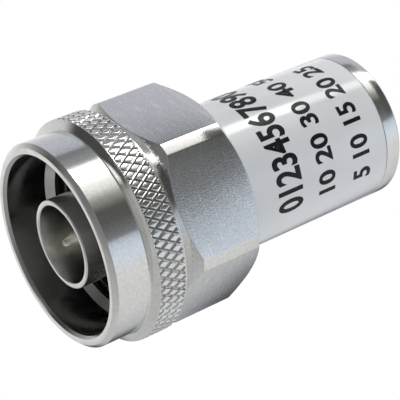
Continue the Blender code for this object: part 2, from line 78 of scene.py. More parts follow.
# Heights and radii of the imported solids
NUT_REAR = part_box("coupling_nut")[0].z
NUT_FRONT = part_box("coupling_nut")[1].z
SLEEVE_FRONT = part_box("plug_body")[1].z
SPIGOT_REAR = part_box("plug_body")[0].z
GASKET_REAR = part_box("face_gasket")[0].z
GASKET_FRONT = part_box("face_gasket")[1].z
GASKET_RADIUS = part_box("face_gasket")[1].x
HOUSING_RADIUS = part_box("housing")[1].x
HOUSING_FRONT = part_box("housing")[1].z
REAR_PLUG_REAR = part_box("rear_plug")[0].z
REAR_PLUG_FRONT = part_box("rear_plug")[1].z
LABEL_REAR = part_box("wrap_label")[0].z
LABEL_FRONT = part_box("wrap_label")[1].z
LABEL_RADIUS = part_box("wrap_label")[1].x

# Outside of the nut
NUT_CORNER_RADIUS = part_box("coupling_nut")[1].x
KNURL_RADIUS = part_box("coupling_nut")[1].y
LAND_RADIUS = KNURL_RADIUS - 0.00032
GROOVE_RADIUS = LAND_RADIUS - 0.00104
RIM_RADIUS = KNURL_RADIUS - 0.00089
RIM_CHAMFER = 0.00035
BAND_REAR = NUT_FRONT - 0.0033
FLANK_ROOT_RADIUS = 0.00025
FLAT_DISTANCE = NUT_CORNER_RADIUS - 0.00108
NUT_REAR_RADIUS = NUT_CORNER_RADIUS - 0.00143
HEX_FRONT_SLOPE = math.tan(math.radians(33))
HEX_REAR_SLOPE = math.tan(math.radians(37))
HEX_EDGE = 0.00004
GROOVE_FRONT = NUT_FRONT - 0.00675
GROOVE_SPLIT = NUT_FRONT - 0.00710
GROOVE_REAR = NUT_FRONT - 0.00725
KNURL_FRONT = NUT_FRONT - 0.0038
KNURL_REAR = NUT_FRONT - 0.00635
KNURL_LIP = 0.00006
KNURL_SEAT_RADIUS = KNURL_RADIUS - 0.00036
KNURL_WALL = 0.00027

# Inside of the nut
COUNTERBORE_RADIUS = 0.00805
MOUTH_CHAMFER = 0.00025
MOUTH_RADIUS = COUNTERBORE_RADIUS + MOUTH_CHAMFER
RELIEF_RADIUS = 0.0081
THREAD_ROOT_RADIUS = 0.00797
THREAD_MINOR_RADIUS = 0.0074
REAR_BORE_RADIUS = 0.00705
REAR_FACE_RADIUS = 0.0079

# Plug body, housing, rear plug and label
SLEEVE_RADIUS = 0.00397
SLEEVE_BORE_RADIUS = 0.0035
FLANGE_RADIUS = 0.0072
SNAP_GROOVE_RADIUS = 0.0064
SPIGOT_RADIUS = 0.0058
SEAL_FLOOR_RADIUS = 0.00495
BEAD_POCKET_RADIUS = 0.0042
HOUSING_BORE_RADIUS = 0.0059
LABEL_THICKNESS = 0.0001
LABEL_SEAT_DEPTH = 0.00015
LABEL_JOINT = math.radians(158)
THIN_GAP = 0.00005
FIT_GAP = 0.0001

# Limits for welding and for what counts as an edge or a corner
WELD = 0.000002
SHARP_ANGLE = math.radians(32)
COPY_SHARP_ANGLE = math.radians(38)
CORNER_ANGLE = math.radians(20)

WHITE = (1.0, 1.0, 1.0, 1.0)
LEAST_ROUGHNESS = 0.02


# Settings


class NutSettings(bpy.types.PropertyGroup):
    """Sizes of the coupling nut that only its finish needs"""

    steps: bpy.props.IntProperty(
        name="Steps", description="Facets round the nut", default=216, min=24
    )
    knurl_depth: bpy.props.FloatProperty(
        name="Knurl Depth", description="Depth of the knurl's grooves", default=0.00022, unit="LENGTH"
    )
    knurl_groove: bpy.props.FloatProperty(
        name="Knurl Groove",
        description="Half the width of a knurl groove",
        default=0.00013,
        unit="LENGTH",
    )
    knurl_row: bpy.props.FloatProperty(
        name="Knurl Row", description="Height of a knurl diamond", default=0.00148, unit="LENGTH"
    )
    knurl_teeth: bpy.props.IntProperty(
        name="Knurl Teeth", description="Diamonds round the nut", default=72, min=12
    )
    thread_pitch: bpy.props.FloatProperty(
        name="Thread Pitch",
        description="Rise of the thread in one turn",
        default=0.0010583,
        unit="LENGTH",
    )
    edge_radius: bpy.props.FloatProperty(
        name="Edge Rounding", description="Rounding of the turned edges", default=0.00005, unit="LENGTH"
    )


class PlugSettings(bpy.types.PropertyGroup):
    """Sizes of the plug body, its gasket and its pin"""

    steps: bpy.props.IntProperty(
        name="Steps", description="Facets round the plug's pieces", default=144, min=24
    )
    edge_radius: bpy.props.FloatProperty(
        name="Edge Rounding", description="Rounding of the turned edges", default=0.00003, unit="LENGTH"
    )


class LabelSettings(bpy.types.PropertyGroup):
    """Sizes and colours of the wrapped label"""

    ink_height: bpy.props.FloatProperty(
        name="Ink Height", description="How far the print stands proud", default=0.000012, unit="LENGTH"
    )
    joint_gap: bpy.props.FloatProperty(
        name="Joint Gap",
        description="Gap where the label's two ends meet",
        default=0.00012,
        unit="LENGTH",
    )
    film_color: bpy.props.FloatVectorProperty(
        name="Film", description="Colour of the label", default=(0.86, 0.875, 0.90), subtype="COLOR"
    )
    ink_color: bpy.props.FloatVectorProperty(
        name="Ink", description="Colour of the print", default=(0.012, 0.013, 0.018), subtype="COLOR"
    )


class FinishSettings(bpy.types.PropertyGroup):
    """Colours of the metals and the hidden pieces"""

    plating: bpy.props.FloatVectorProperty(
        name="Plating",
        description="White bronze plating",
        default=(0.78, 0.778, 0.765),
        subtype="COLOR",
    )
    pin: bpy.props.FloatVectorProperty(
        name="Pin", description="Silver plated centre pin", default=(0.72, 0.70, 0.60), subtype="COLOR"
    )
    gasket: bpy.props.FloatVectorProperty(
        name="Gasket",
        description="Rubber of the face gasket",
        default=(0.020, 0.020, 0.021),
        subtype="COLOR",
    )
    insulator: bpy.props.FloatVectorProperty(
        name="Insulator",
        description="White bead behind the pin",
        default=(0.62, 0.62, 0.59),
        subtype="COLOR",
    )


class StageSettings(bpy.types.PropertyGroup):
    """The camera and the light"""

    camera_place: bpy.props.FloatVectorProperty(
        name="Camera Place",
        description="Where the camera stands",
        default=(0.110861, -0.046062, 0.085678),
        subtype="TRANSLATION",
        unit="LENGTH",
        precision=6,
    )
    camera_turn: bpy.props.FloatVectorProperty(
        name="Camera Turn",
        description="How the camera is turned",
        default=(math.radians(-34.9017), math.radians(53.3709), math.radians(-63.0445)),
        subtype="EULER",
    )
    lens: bpy.props.FloatProperty(
        name="Lens", description="Focal length in millimetres", default=140.2645
    )
    light_strength: bpy.props.FloatProperty(
        name="Light", description="Strength of the studio light", default=1.0
    )


# Mesh helpers


def everything(bm):
    return list(bm.verts) + list(bm.edges) + list(bm.faces)


def spin(bm, angle, steps, rise=0.0, merge=False, duplicate=False):
    """Sweep or repeat a whole bmesh round Z, each step higher by rise."""
    bmesh.ops.spin(
        bm,
        geom=everything(bm),
        cent=(0, 0, 0),
        axis=(0, 0, 1),
        dvec=(0, 0, rise),
        angle=angle,
        steps=steps,
        use_merge=merge,
        use_duplicate=duplicate,
    )


def lathe(profile, steps, soft=0.0, closed=True, sweep=math.tau):
    """A new bmesh: a profile of (radius, height) pairs turned round Z, corners rounded by soft."""
    bm = bmesh.new()
    points = [bm.verts.new((radius, 0.0, height)) for radius, height in profile]
    count = len(points)
    for i in range(count if closed else count - 1):
        bm.edges.new((points[i], points[(i + 1) % count]))
    if soft:
        corners = [v for v in points if is_corner(v)]
        bmesh.ops.bevel(
            bm,
            geom=corners,
            offset=soft,
            segments=3,
            profile=0.5,
            affect="VERTICES",
            clamp_overlap=True,
            material=-1,
        )
    spin(bm, sweep, steps, merge=sweep == math.tau)
    bmesh.ops.remove_doubles(bm, verts=bm.verts, dist=WELD)
    return bm


def is_corner(vertex):
    """True where a profile turns by more than CORNER_ANGLE, away from the axis."""
    if len(vertex.link_edges) != 2 or vertex.co.x < WELD:
        return False
    ways = [(e.other_vert(vertex).co - vertex.co).normalized() for e in vertex.link_edges]
    return math.pi - ways[0].angle(ways[1]) > CORNER_ANGLE


def add_to(target, source):
    """Move a bmesh's faces into another one."""
    mesh = bpy.data.meshes.new("part")
    source.to_mesh(mesh)
    source.free()
    target.from_mesh(mesh)
    bpy.data.meshes.remove(mesh)


def finish_piece(name, bm, body, materials, replaces=()):
    """Weld, point the faces outwards and make the object, riding on its body."""
    bmesh.ops.remove_doubles(bm, verts=bm.verts, dist=WELD)
    bmesh.ops.recalc_face_normals(bm, faces=bm.faces)
    mesh = bpy.data.meshes.new(name)
    bm.to_mesh(mesh)
    bm.free()
    for material in materials:
        mesh.materials.append(material)
    mesh.shade_smooth()
    mesh.set_sharp_from_angle(angle=SHARP_ANGLE)
    piece = bpy.data.objects.new(name, mesh)
    bpy.context.scene.collection.objects.link(piece)
    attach(piece, body)
    if replaces:
        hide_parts(*replaces)


def smooth_copy(node, material):
    """A welded copy of a CAD node's mesh, shaded smooth between its sharp edges."""
    source = frame["nodes"][node]
    bm = bmesh.new()
    bm.from_mesh(source.data)
    bmesh.ops.remove_doubles(bm, verts=bm.verts, dist=WELD)
    mesh = bpy.data.meshes.new(node + "_finish")
    bm.to_mesh(mesh)
    bm.free()
    mesh.materials.append(material)
    for polygon in mesh.polygons:
        polygon.material_index = 0
    mesh.shade_smooth()
    mesh.set_sharp_from_angle(angle=COPY_SHARP_ANGLE)
    piece = bpy.data.objects.new(node + "_finish", mesh)
    bpy.context.scene.collection.objects.link(piece)
    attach(piece, source["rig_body"])
    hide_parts(node)


def arc(centre_radius, centre_height, radius, first, last, points):
    """Profile points on an arc, angles in degrees from the outward direction."""
    result = []
    for i in range(points + 1):
        angle = math.radians(first + (last - first) * i / points)
        result.append(
            (centre_radius + radius * math.cos(angle), centre_height + radius * math.sin(angle))
        )
    return result


# Material helpers


def add(tree, kind, inputs=None, **settings):
    """Add a node, set its properties, and give its inputs values or links."""
    node = tree.nodes.new(kind)
    for key, value in settings.items():
        setattr(node, key, value)
    for key, value in (inputs or {}).items():
        socket = node.inputs[key]
        if isinstance(value, bpy.types.NodeSocket):
            tree.links.new(value, socket)
        else:
            socket.default_value = value
    return node


def math_node(tree, operation, first, second=0.0, clamp=False):
    """The result of one sum, each side of it a number or an output."""
    inputs = {0: first, 1: second}
    return add(tree, "ShaderNodeMath", inputs, operation=operation, use_clamp=clamp).outputs[0]


def new_group(name, inputs, outputs):
    """A shader node group with float or vector inputs and outputs."""
    tree = bpy.data.node_groups.new(name, "ShaderNodeTree")
    for label, kind, default in inputs:
        socket = tree.interface.new_socket(label, in_out="INPUT", socket_type=kind)
        if default is not None:
            socket.default_value = default
    for label, kind in outputs:
        tree.interface.new_socket(label, in_out="OUTPUT", socket_type=kind)
    return tree, tree.nodes.new("NodeGroupInput"), tree.nodes.new("NodeGroupOutput")


def share_between(tree, value, first, last, kind="LINEAR"):
    """How far a value has come from one limit to another, from 0 to 1."""
    inputs = {"Value": value, "From Min": first, "From Max": last}
    return add(tree, "ShaderNodeMapRange", inputs, interpolation_type=kind).outputs[0]


def mix_color(tree, factor, first, second):
    """A colour between two others, each a colour or an output."""
    node = add(tree, "ShaderNodeMix", {"Factor": factor, 6: first, 7: second}, data_type="RGBA")
    return node.outputs[2]


def axis_distance(tree, x, y):
    """Distance of a point from the Z axis."""
    squares = [math_node(tree, "MULTIPLY", side, side) for side in (x, y)]
    return math_node(tree, "SQRT", math_node(tree, "ADD", *squares))


def stretched_place(tree, x, y, across, inner):
    """A place to read noise from, so that its grain comes out as lines round the axis."""
    inputs = {
        "X": math_node(tree, "MULTIPLY", x, inner.outputs["Arc Scale"]),
        "Y": math_node(tree, "MULTIPLY", y, inner.outputs["Arc Scale"]),
        "Z": math_node(tree, "MULTIPLY", across, inner.outputs["Line Scale"]),
    }
    return add(tree, "ShaderNodeCombineXYZ", inputs).outputs[0]


def turned_grain_group():
    """Fine lines left by turning: they run round the axis, on walls and on end faces alike."""
    tree, inner, outer = new_group(
        "turned_grain",
        [
            ("Vector", "NodeSocketVector", None),
            ("Line Scale", "NodeSocketFloat", 9000.0),
            ("Arc Scale", "NodeSocketFloat", 250.0),
            ("Face Lines", "NodeSocketFloat", 1.0),
        ],
        [("Height", "NodeSocketFloat")],
    )
    x, y, z = add(tree, "ShaderNodeSeparateXYZ", {0: inner.outputs["Vector"]}).outputs
    aside = math_node(tree, "MULTIPLY", axis_distance(tree, x, y), inner.outputs["Face Lines"])
    place = stretched_place(tree, x, y, math_node(tree, "ADD", z, aside), inner)
    inputs = {"Vector": place, "Scale": 1.0, "Detail": 3.0, "Roughness": 0.62}
    noise = add(tree, "ShaderNodeTexNoise", inputs)
    tree.links.new(noise.outputs[0], outer.inputs["Height"])


def painted_glint_marks_group():
    """A few short thin scratch marks round the axis, as a mask; the marks are real, their whitening is
    a painted glint.
    """
    tree, inner, outer = new_group(
        "painted_glint_marks",
        [
            ("Vector", "NodeSocketVector", None),
            ("Line Scale", "NodeSocketFloat", 9000.0),
            ("Arc Scale", "NodeSocketFloat", 600.0),
        ],
        [("Mask", "NodeSocketFloat")],
    )
    x, y, z = add(tree, "ShaderNodeSeparateXYZ", {0: inner.outputs["Vector"]}).outputs
    place = stretched_place(tree, x, y, z, inner)
    noise = add(tree, "ShaderNodeTexNoise", {"Vector": place, "Scale": 1.0, "Detail": 0.0})
    tree.links.new(share_between(tree, noise.outputs[0], 0.66, 0.76), outer.inputs["Mask"])


def satin_mottle_group():
    """Uneven satin surface: soft dimples and a slower change of polish."""
    tree, inner, outer = new_group(
        "satin_mottle",
        [
            ("Vector", "NodeSocketVector", None),
            ("Fine Scale", "NodeSocketFloat", 7000.0),
            ("Patch Scale", "NodeSocketFloat", 700.0),
        ],
        [("Height", "NodeSocketFloat"), ("Patches", "NodeSocketFloat")],
    )
    noises = []
    for scale, detail, roughness in (("Fine Scale", 2.0, 0.55), ("Patch Scale", 4.0, 0.6)):
        inputs = {
            "Vector": inner.outputs["Vector"],
            "Scale": inner.outputs[scale],
            "Detail": detail,
            "Roughness": roughness,
        }
        noises.append(add(tree, "ShaderNodeTexNoise", inputs).outputs[0])
    tree.links.new(noises[0], outer.inputs["Height"])
    tree.links.new(share_between(tree, noises[1], 0.32, 0.68), outer.inputs["Patches"])


def crowned_flat_group():
    """Height of the nut's flats, which polishing has left a little higher in the middle."""
    tree, inner, outer = new_group(
        "crowned_flat",
        [("Vector", "NodeSocketVector", None), ("Crown", "NodeSocketFloat", 0.0005)],
        [("Height", "NodeSocketFloat")],
    )
    x, y, _ = add(tree, "ShaderNodeSeparateXYZ", {0: inner.outputs["Vector"]}).outputs
    turn = math_node(tree, "ADD", math_node(tree, "ARCTAN2", y, x), math.tau)
    sixth = math.tau / 6
    aside = math_node(tree, "SUBTRACT", math_node(tree, "MODULO", turn, sixth), sixth / 2)
    square = math_node(tree, "MULTIPLY", aside, aside)
    fall = math_node(tree, "MULTIPLY", inner.outputs["Crown"], -1.0)
    tree.links.new(math_node(tree, "MULTIPLY", square, fall), outer.inputs["Height"])


def groove_shade_group():
    """How far a point lies above the floor of the knurl's grooves, from 0 to 1, for the painted shade
    in the grooves.
    """
    tree, inner, outer = new_group(
        "groove_shade",
        [
            ("Vector", "NodeSocketVector", None),
            ("Floor", "NodeSocketFloat", 0.01),
            ("Depth", "NodeSocketFloat", 0.0002),
        ],
        [("Share", "NodeSocketFloat")],
    )
    x, y, _ = add(tree, "ShaderNodeSeparateXYZ", {0: inner.outputs["Vector"]}).outputs
    above = math_node(tree, "SUBTRACT", axis_distance(tree, x, y), inner.outputs["Floor"])
    share = math_node(tree, "DIVIDE", above, inner.outputs["Depth"], clamp=True)
    tree.links.new(share, outer.inputs["Share"])


def group_node(tree, name, inputs):
    """Use one of the node groups above."""
    return add(tree, "ShaderNodeGroup", inputs, node_tree=bpy.data.node_groups[name])


def new_material(name):
    """A material, with its node tree, its shader and the object's own coordinates."""
    material = bpy.data.materials.new(name)
    material.use_nodes = True
    tree = material.node_tree
    place = add(tree, "ShaderNodeTexCoord").outputs["Object"]
    return material, tree, tree.nodes["Principled BSDF"], place


def satin(tree, place, fine_scale, patch_scale):
    """Height and patches of the satin mottle."""
    inputs = {"Vector": place, "Fine Scale": fine_scale, "Patch Scale": patch_scale}
    return group_node(tree, "satin_mottle", inputs).outputs


def patchy_color(tree, patches, color, dark_share):
    """The colour, down to a share of itself where the patches are low."""
    return mix_color(tree, patches, (*[c * dark_share for c in color], 1.0), (*color, 1.0))


def patchy_roughness(tree, patches, roughness, spread):
    """Duller where the patches are low and more polished where they are high."""
    polished = max(LEAST_ROUGHNESS, roughness - spread)
    inputs = {"Value": patches, "To Min": roughness + spread, "To Max": polished}
    return add(tree, "ShaderNodeMapRange", inputs).outputs[0]


def bump_normal(tree, height, distance):
    """A bump that lifts the surface by the height times the distance."""
    inputs = {"Strength": 1.0, "Distance": distance, "Height": height}
    return add(tree, "ShaderNodeBump", inputs)


def dress(tree, shader, color, roughness, normal):
    """Link a shader's colour, roughness and normal."""
    tree.links.new(color, shader.inputs["Base Color"])
    tree.links.new(roughness, shader.inputs["Roughness"])
    tree.links.new(normal, shader.inputs["Normal"])


# What a metal is given where its own call names nothing else
METAL = {
    "spread": 0.06,
    "lines": 0.3,
    "mottle": 0.5,
    "line_scale": 9000.0,
    "arc_scale": 250.0,
    "face_lines": 1.0,
    "fine_scale": 7000.0,
    "patch_scale": 700.0,
    "dark_share": 0.93,
    "bump": 0.000004,
    "crown": 0.0,
    # marks: how far thin scratch marks are painted towards white, as painted glints
    "marks": 0.0,
    # groove: painted shade in the knurl's grooves, as floor radius, fade depth and darkest share
    "groove": None,
}


def metal(name, color, roughness, **changes):
    """A plated metal: turning lines, satin mottle, uneven polish, and what else it is asked for: a
    crown, painted glints along scratch marks, painted shade in knurl grooves.
    """
    values = METAL | changes
    material, tree, shader, place = new_material(name)
    grain = group_node(
        tree,
        "turned_grain",
        {
            "Vector": place,
            "Line Scale": values["line_scale"],
            "Arc Scale": values["arc_scale"],
            "Face Lines": values["face_lines"],
        },
    )
    dimples, patches = satin(tree, place, values["fine_scale"], values["patch_scale"])
    height = math_node(
        tree,
        "ADD",
        math_node(tree, "MULTIPLY", grain.outputs["Height"], values["lines"]),
        math_node(tree, "MULTIPLY", dimples, values["mottle"]),
    )
    bump = bump_normal(tree, height, values["bump"])
    if values["crown"]:
        crown = group_node(tree, "crowned_flat", {"Vector": place, "Crown": values["crown"]})
        whole = bump_normal(tree, crown.outputs["Height"], 1.0)
        tree.links.new(whole.outputs[0], bump.inputs["Normal"])
    shade = patchy_color(tree, patches, color, values["dark_share"])
    # Painted glints: thin scratch marks, their colour mixed towards white
    if values["marks"]:
        marks = group_node(tree, "painted_glint_marks", {"Vector": place})
        amount = math_node(tree, "MULTIPLY", marks.outputs["Mask"], values["marks"])
        shade = mix_color(tree, amount, shade, WHITE)
    # Painted shade: the knurl's grooves darken towards their floors, to a share of the colour
    if values["groove"]:
        floor, depth, painted_shade_share = values["groove"]
        above = group_node(tree, "groove_shade", {"Vector": place, "Floor": floor, "Depth": depth})
        shade = mix_color(tree, above.outputs["Share"], (*[c * painted_shade_share for c in color], 1.0), shade)
    rough = patchy_roughness(tree, patches, roughness, values["spread"])
    dress(tree, shader, shade, rough, bump.outputs[0])
    shader.inputs["Metallic"].default_value = 1.0
    return material


def plain_solid(
    name,
    color,
    roughness,
    spread=0.08,
    fine_scale=9000.0,
    patch_scale=900.0,
    dark_share=0.85,
    bump=0.000004,
):
    """Rubber, plastic, film or ceramic with a fine uneven surface."""
    material, tree, shader, place = new_material(name)
    dimples, patches = satin(tree, place, fine_scale, patch_scale)
    shade = patchy_color(tree, patches, color, dark_share)
    rough = patchy_roughness(tree, patches, roughness, spread)
    dress(tree, shader, shade, rough, bump_normal(tree, dimples, bump).outputs[0])
    return material


# Coupling nut


def hexagon_section(steps):
    """The rear of the nut: a turned blank with six flats cut on it."""
    front_cone = (NUT_CORNER_RADIUS - GROOVE_RADIUS) * HEX_FRONT_SLOPE
    rear_cone = (NUT_CORNER_RADIUS - NUT_REAR_RADIUS) * HEX_REAR_SLOPE
    profile = [
        (GROOVE_RADIUS, GROOVE_SPLIT),
        (GROOVE_RADIUS, GROOVE_REAR),
        (NUT_CORNER_RADIUS, GROOVE_REAR - front_cone),
        (NUT_CORNER_RADIUS, NUT_REAR + rear_cone),
        (NUT_REAR_RADIUS, NUT_REAR),
        (REAR_FACE_RADIUS, NUT_REAR),
    ]
    bm = lathe(profile, steps, closed=False)
    for index in range(6):
        angle = math.radians(30 + 60 * index)
        normal = Vector((math.cos(angle), math.sin(angle), 0.0))
        cut = bmesh.ops.bisect_plane(
            bm,
            geom=everything(bm),
            dist=WELD,
            plane_co=normal * FLAT_DISTANCE,
            plane_no=normal,
            clear_outer=True,
        )
        rim = [e for e in cut["geom_cut"] if isinstance(e, bmesh.types.BMEdge)]
        close = sorted({v for e in rim for v in e.verts}, key=lambda v: tuple(v.co))
        bmesh.ops.remove_doubles(bm, verts=close, dist=WELD * 10)
        rim = [
            e
            for e in bm.edges
            if e.is_boundary and all(abs(v.co.dot(normal) - FLAT_DISTANCE) < WELD / 4 for v in e.verts)
        ]
        filled = bmesh.ops.contextual_create(bm, geom=rim)
        for face in filled["faces"]:
            face.material_index = 1
    return bm


def nut_turning(steps, soft):
    """All that is turned of the nut, from the groove round the front and down the bore."""
    edge = 0.0002
    rear_wall = NUT_REAR + 0.0018
    snap_rear = NUT_REAR + 0.00285
    snap_front = NUT_REAR + 0.00395
    relief_rear = NUT_REAR + 0.0046
    relief_front = NUT_REAR + 0.0053
    thread_rear = NUT_REAR + 0.0054
    thread_front = NUT_FRONT - 0.0053
    thread_chamfer = 0.0003
    counterbore_rear = NUT_FRONT - 0.0041
    counterbore_chamfer = COUNTERBORE_RADIUS - THREAD_MINOR_RADIUS
    bore = [
        (REAR_FACE_RADIUS, NUT_REAR),
        (REAR_BORE_RADIUS + edge, NUT_REAR),
        (REAR_BORE_RADIUS, NUT_REAR + edge),
        (REAR_BORE_RADIUS, rear_wall),
        (THREAD_MINOR_RADIUS, rear_wall),
        (THREAD_MINOR_RADIUS, snap_rear),
        (COUNTERBORE_RADIUS, snap_rear),
        (COUNTERBORE_RADIUS, snap_front),
        (THREAD_MINOR_RADIUS, snap_front),
        (THREAD_MINOR_RADIUS, relief_rear),
        (RELIEF_RADIUS, relief_rear),
        (RELIEF_RADIUS, relief_front),
        (THREAD_ROOT_RADIUS, thread_rear),
        (THREAD_ROOT_RADIUS, thread_front),
        (THREAD_MINOR_RADIUS, thread_front + thread_chamfer),
        (THREAD_MINOR_RADIUS, counterbore_rear - counterbore_chamfer),
        (COUNTERBORE_RADIUS, counterbore_rear),
        (COUNTERBORE_RADIUS, NUT_FRONT - MOUTH_CHAMFER),
        (MOUTH_RADIUS, NUT_FRONT),
    ]
    flank_top = KNURL_RADIUS - 0.00002
    line_step = 0.00003
    line_front = NUT_FRONT - 0.00652
    ring_radius = LAND_RADIUS - line_step
    ring_rear = NUT_FRONT - 0.00668
    ring_edge = 0.00007
    outside = [
        (RIM_RADIUS - RIM_CHAMFER, NUT_FRONT),
        (RIM_RADIUS, NUT_FRONT - RIM_CHAMFER),
        *arc(RIM_RADIUS + FLANK_ROOT_RADIUS, BAND_REAR, FLANK_ROOT_RADIUS, 180, 228, 5),
        (flank_top, KNURL_FRONT),
        (flank_top, KNURL_FRONT - KNURL_LIP),
        (KNURL_SEAT_RADIUS, KNURL_FRONT - KNURL_LIP),
        (KNURL_SEAT_RADIUS, KNURL_REAR),
        (LAND_RADIUS, KNURL_REAR),
        (LAND_RADIUS, line_front),
        (LAND_RADIUS - 2 * line_step, line_front - line_step),
        (ring_radius, line_front - 2 * line_step),
        (ring_radius, ring_rear),
        (ring_radius - ring_edge, ring_rear - ring_edge),
        (GROOVE_RADIUS, GROOVE_FRONT),
        (GROOVE_RADIUS, GROOVE_SPLIT),
    ]
    return lathe(bore + outside, steps, soft=soft, closed=False)


def knurl_ring(settings):
    """Raised diamonds between crossed grooves, one pitch of them repeated round the nut."""
    radius = KNURL_RADIUS
    floor = radius - settings.knurl_depth
    pitch = math.tau * radius / settings.knurl_teeth
    rise = settings.knurl_row
    front = KNURL_FRONT - KNURL_LIP
    middle = (front + KNURL_REAR) / 2
    cells = 14
    bm = bmesh.new()
    bmesh.ops.create_grid(bm, x_segments=cells, y_segments=cells, size=cells / 2)
    eighth = Matrix.Rotation(math.radians(45), 3, "Z")
    bmesh.ops.rotate(bm, verts=bm.verts, cent=(0, 0, 0), matrix=eighth)
    half = math.sqrt(0.5)
    bmesh.ops.scale(bm, verts=bm.verts, vec=(half * pitch, half * rise, 1.0))
    away = []
    for face in bm.faces:
        centre = face.calc_center_median()
        beside = not -0.25 * pitch < centre.x < 0.75 * pitch
        beyond = abs(centre.y) > 1.25 * rise
        if beside or beyond:
            away.append(face)
    bmesh.ops.delete(bm, geom=away, context="FACES")
    pads = list(bm.faces)
    edge = 0.00003
    for inset, lift in (
        (settings.knurl_groove, settings.knurl_depth - edge),
        (edge, edge * 2 / 3),
        (0.00005, edge / 3),
    ):
        bmesh.ops.inset_individual(bm, faces=pads, thickness=inset, depth=lift, use_even_offset=True)
    for side, clear in ((front - middle, "outer"), (KNURL_REAR - middle, "inner")):
        bmesh.ops.bisect_plane(
            bm,
            geom=everything(bm),
            dist=WELD / 10,
            plane_co=(0.0, side, 0.0),
            plane_no=(0.0, 1.0, 0.0),
            clear_outer=clear == "outer",
            clear_inner=clear == "inner",
        )
    for vertex in bm.verts:
        angle = vertex.co.x / radius
        reach = floor + vertex.co.z
        vertex.co = (reach * math.cos(angle), reach * math.sin(angle), middle + vertex.co.y)
    copies = settings.knurl_teeth - 1
    spin(bm, math.tau * copies / settings.knurl_teeth, copies, duplicate=True)
    bmesh.ops.remove_doubles(bm, verts=bm.verts, dist=WELD)
    inner_radius = floor - KNURL_WALL
    rims = [e for e in bm.edges if e.is_boundary]
    made = bmesh.ops.extrude_edge_only(bm, edges=rims)["geom"]
    for vertex in (g for g in made if isinstance(g, bmesh.types.BMVert)):
        share = inner_radius / math.hypot(vertex.co.x, vertex.co.y)
        vertex.co.x *= share
        vertex.co.y *= share
    rims = [e for e in bm.edges if e.is_boundary]
    bmesh.ops.bridge_loops(bm, edges=rims)
    return bm


def thread_ridge(settings):
    """The inner thread, one ridge swept up a helix."""
    pitch = settings.thread_pitch
    start = NUT_REAR + 0.0055
    turns = 4.1
    steps = round(96 * turns)
    foot = 0.42
    crest = 0.08
    foot_radius = THREAD_ROOT_RADIUS + 0.00005
    section = [
        (foot_radius, -foot),
        (THREAD_MINOR_RADIUS, -crest),
        (THREAD_MINOR_RADIUS, crest),
        (foot_radius, foot),
    ]
    bm = bmesh.new()
    points = [bm.verts.new((radius, 0.0, start + share * pitch)) for radius, share in section]
    bm.faces.new(points)
    spin(bm, math.tau * turns, steps, rise=pitch * turns / steps)
    bmesh.ops.remove_doubles(bm, verts=bm.verts, dist=WELD / 10)
    return bm


def round_hexagon(shell):
    """Break the edges of the hexagon and its cones."""
    behind = GROOVE_SPLIT - 0.00002
    outside = MOUTH_RADIUS + 0.0001
    ridges = [
        e
        for e in shell.edges
        if e.is_manifold
        and all(v.co.z < behind for v in e.verts)
        and min(math.hypot(*v.co.xy) for v in e.verts) > outside
        and e.calc_face_angle(0.0) > CORNER_ANGLE
    ]
    bmesh.ops.bevel(
        shell,
        geom=ridges,
        offset=HEX_EDGE,
        segments=2,
        profile=0.5,
        affect="EDGES",
        clamp_overlap=False,
        material=-1,
    )


def mark_rim_and_bore(shell):
    """Give the front rim and the inside of the nut the slots of their own materials."""
    rim_rear = NUT_FRONT - RIM_CHAMFER + 0.00001
    bore_rear = NUT_REAR + 0.0001
    for face in shell.faces:
        centre = face.calc_center_median()
        reach = math.hypot(centre.x, centre.y)
        if centre.z > rim_rear and reach > MOUTH_RADIUS:
            face.material_index = 2
        elif reach < MOUTH_RADIUS and centre.z > bore_rear:
            face.material_index = 3


class TERMINATION_OT_nut(bpy.types.Operator):
    """Build the coupling nut: turned shell, hexagon, knurl and inner thread"""

    bl_idname = "termination.nut"
    bl_label = "Coupling Nut"

    def execute(self, context):
        settings = context.scene.termination_nut
        finish = context.scene.termination_finish
        color = tuple(finish.plating)
        bright = metal(
            "nut_plating",
            color,
            0.10,
            spread=0.03,
            lines=0.8,
            mottle=1.0,
            fine_scale=5500.0,
            patch_scale=3500.0,
            dark_share=0.86,
            bump=0.0000022,
        )
        flats = metal(
            "nut_flats",
            color,
            0.10,
            spread=0.03,
            lines=1.4,
            mottle=1.2,
            face_lines=0.0,
            line_scale=6500.0,
            arc_scale=50.0,
            fine_scale=8000.0,
            patch_scale=5500.0,
            dark_share=0.78,
            bump=0.000008,
            crown=0.0003,
            # Painted glints along thin scratch marks
            marks=0.4,
        )
        grained = metal(
            "nut_chamfers", color, 0.17, lines=0.4, mottle=1.0, fine_scale=6000.0, bump=0.0000025
        )
        depth = settings.knurl_depth
        knurled = metal(
            "nut_knurl",
            color,
            0.14,
            lines=0.1,
            mottle=0.6,
            bump=0.000002,
            # Painted shade in the grooves: floor, fade depth, darkest share of the colour
            groove=(KNURL_RADIUS - depth, depth * 0.7, 0.75),
        )
        # Painted shade: the bore and the inner thread take the plating darkened to 0.6 of itself
        inside = metal(
            "nut_bore_painted_shade", tuple(c * 0.6 for c in color), 0.18, lines=0.8, mottle=0.4, bump=0.000002
        )
        shell = hexagon_section(settings.steps)
        add_to(shell, nut_turning(settings.steps, settings.edge_radius))
        bmesh.ops.remove_doubles(shell, verts=shell.verts, dist=WELD)
        round_hexagon(shell)
        mark_rim_and_bore(shell)
        finish_piece(
            "nut_shell",
            shell,
            "nut",
            (bright, flats, grained, inside),
            ("coupling_nut",),
        )
        finish_piece("nut_knurl", knurl_ring(settings), "nut", (knurled,))
        finish_piece("nut_thread", thread_ridge(settings), "nut", (inside,))
        return {"FINISHED"}


# Plug body, gasket, pin and bead


